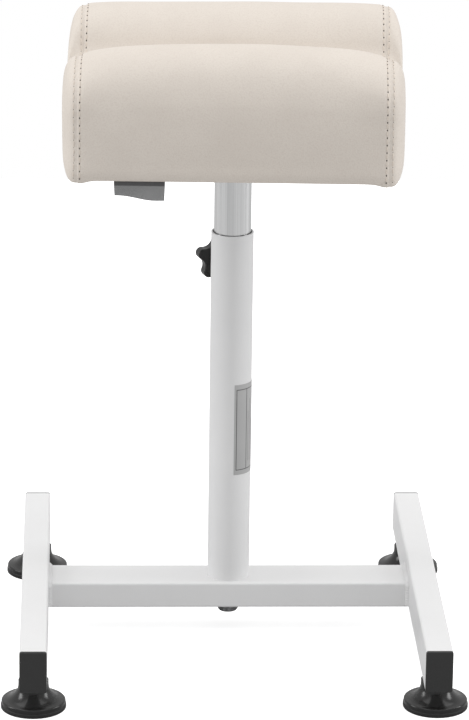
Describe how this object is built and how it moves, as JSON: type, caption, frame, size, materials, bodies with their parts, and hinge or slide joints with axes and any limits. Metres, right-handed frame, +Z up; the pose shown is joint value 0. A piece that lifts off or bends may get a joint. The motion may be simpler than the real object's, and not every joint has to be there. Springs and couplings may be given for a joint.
{
  "type": "adjustable leg rest stool",
  "caption": "Free-standing leg rest: a two-humped cream cushion on a telescopic column with a side clamp knob and an H-shaped base on levelling feet.",
  "frame": {"origin": "on the floor, in the middle of the H base", "axes": "+Z up, +X from the user's left rail to the right rail seen from the front, -Y to the front, where the user's feet come from"},
  "size_m": [0.43, 0.424, 0.598],
  "materials": {
    "white_powder_coat": "fine orange-peel satin powder coat",
    "bare_steel": "machined",
    "black_steel": "black zinc, satin",
    "zinc_steel": "bright zinc",
    "chrome_tube": "polished chrome",
    "black_nylon": "moulded",
    "knob_plastic": "fine spark-eroded texture",
    "cap_plastic": "moulded",
    "foot_plastic": "moulded, slightly glossy",
    "sole_rubber": "moulded rubber",
    "brass_tip": "turned",
    "label_film": "printed film, satin",
    "plywood": "sawn",
    "foam": "open cell",
    "cream_leatherette": "fine-grained synthetic leather",
    "black_cloth": "non-woven",
    "grey_tape": "satin-woven"
  },
  "bodies": {
    "base": {"left_rail": "white_powder_coat", "right_rail": "white_powder_coat", "crossbar": "white_powder_coat", "crossbar_welds": "white_powder_coat", "column_tube": "white_powder_coat", "column_plug": "bare_steel", "crossbar_spacer": "bare_steel", "column_bolt": "black_steel", "column_washer": "black_steel", "column_spring_washer": "black_steel", "guide_bush": "black_nylon", "rating_label": "label_film", "clamp_boss": "white_powder_coat", "front_left_end_cap": "cap_plastic", "front_left_foot_nut": "zinc_steel", "front_right_end_cap": "cap_plastic", "front_right_foot_nut": "zinc_steel", "rear_left_end_cap": "cap_plastic", "rear_left_foot_nut": "zinc_steel", "rear_right_end_cap": "cap_plastic", "rear_right_foot_nut": "zinc_steel"},
    "clamp_tip": {"clamp_tip": "brass_tip"},
    "clamp_screw": {"clamp_stud": "zinc_steel", "clamp_knob": "knob_plastic"},
    "glide": {"lower_glide": "black_nylon"},
    "rest": {"sliding_tube": "chrome_tube", "slide_plug": "black_nylon", "mounting_plate": "white_powder_coat", "plate_weld": "white_powder_coat", "plate_screws": "zinc_steel", "tee_nuts": "zinc_steel", "base_board": "plywood", "foam_core": "foam", "cover_main_panel": "cream_leatherette", "cover_left_panel": "cream_leatherette", "cover_right_panel": "cream_leatherette", "bottom_cloth": "black_cloth", "staples": "zinc_steel", "woven_tag": "grey_tape"},
    "front_left_stud": {"front_left_foot_stud": "zinc_steel"},
    "front_left_foot": {"front_left_foot": "foot_plastic", "front_left_foot_sole": "sole_rubber"},
    "front_right_stud": {"front_right_foot_stud": "zinc_steel"},
    "front_right_foot": {"front_right_foot": "foot_plastic", "front_right_foot_sole": "sole_rubber"},
    "rear_left_stud": {"rear_left_foot_stud": "zinc_steel"},
    "rear_left_foot": {"rear_left_foot": "foot_plastic", "rear_left_foot_sole": "sole_rubber"},
    "rear_right_stud": {"rear_right_foot_stud": "zinc_steel"},
    "rear_right_foot": {"rear_right_foot": "foot_plastic", "rear_right_foot_sole": "sole_rubber"}
  },
  "joints": [
    {"name": "height_slide", "type": "slide", "parent": "base", "child": "glide", "axis": [0, 0, 1], "range_m": [-0.07, 0.15]},
    {"name": "cushion_swivel", "type": "hinge", "parent": "glide", "child": "rest", "pos_m": [0, 0.024, 0.17], "axis": [0, 0, 1], "continuous": true},
    {"name": "clamp_travel", "type": "slide", "parent": "base", "child": "clamp_tip", "axis": [-0.309, 0.9511, 0], "range_m": [0, 0.005]},
    {"name": "clamp_turn", "type": "hinge", "parent": "clamp_tip", "child": "clamp_screw", "pos_m": [-0.00927, 0.05253, 0.3586], "axis": [-0.309, 0.9511, 0], "range_deg": [0, 1440]},
    {"name": "front_left_level", "type": "slide", "parent": "base", "child": "front_left_stud", "axis": [0, 0, -1], "range_m": [0, 0.012]},
    {"name": "front_left_turn", "type": "hinge", "parent": "front_left_stud", "child": "front_left_foot", "pos_m": [-0.185, -0.178, 0.015], "axis": [0, 0, -1], "range_deg": [0, 3456]},
    {"name": "front_right_level", "type": "slide", "parent": "base", "child": "front_right_stud", "axis": [0, 0, -1], "range_m": [0, 0.012]},
    {"name": "front_right_turn", "type": "hinge", "parent": "front_right_stud", "child": "front_right_foot", "pos_m": [0.185, -0.178, 0.015], "axis": [0, 0, -1], "range_deg": [0, 3456]},
    {"name": "rear_left_level", "type": "slide", "parent": "base", "child": "rear_left_stud", "axis": [0, 0, -1], "range_m": [0, 0.012]},
    {"name": "rear_left_turn", "type": "hinge", "parent": "rear_left_stud", "child": "rear_left_foot", "pos_m": [-0.185, 0.168, 0.015], "axis": [0, 0, -1], "range_deg": [0, 3456]},
    {"name": "rear_right_level", "type": "slide", "parent": "base", "child": "rear_right_stud", "axis": [0, 0, -1], "range_m": [0, 0.012]},
    {"name": "rear_right_turn", "type": "hinge", "parent": "rear_right_stud", "child": "rear_right_foot", "pos_m": [0.185, 0.168, 0.015], "axis": [0, 0, -1], "range_deg": [0, 3456]}
  ],
  "couplings": [
    {"joint": "clamp_travel", "follows": "clamp_turn", "m_per_rad": 0.00019894},
    {"joint": "front_left_level", "follows": "front_left_turn", "m_per_rad": 0.00019894},
    {"joint": "front_right_level", "follows": "front_right_turn", "m_per_rad": 0.00019894},
    {"joint": "rear_left_level", "follows": "rear_left_turn", "m_per_rad": 0.00019894},
    {"joint": "rear_right_level", "follows": "rear_right_turn", "m_per_rad": 0.00019894}
  ]
}
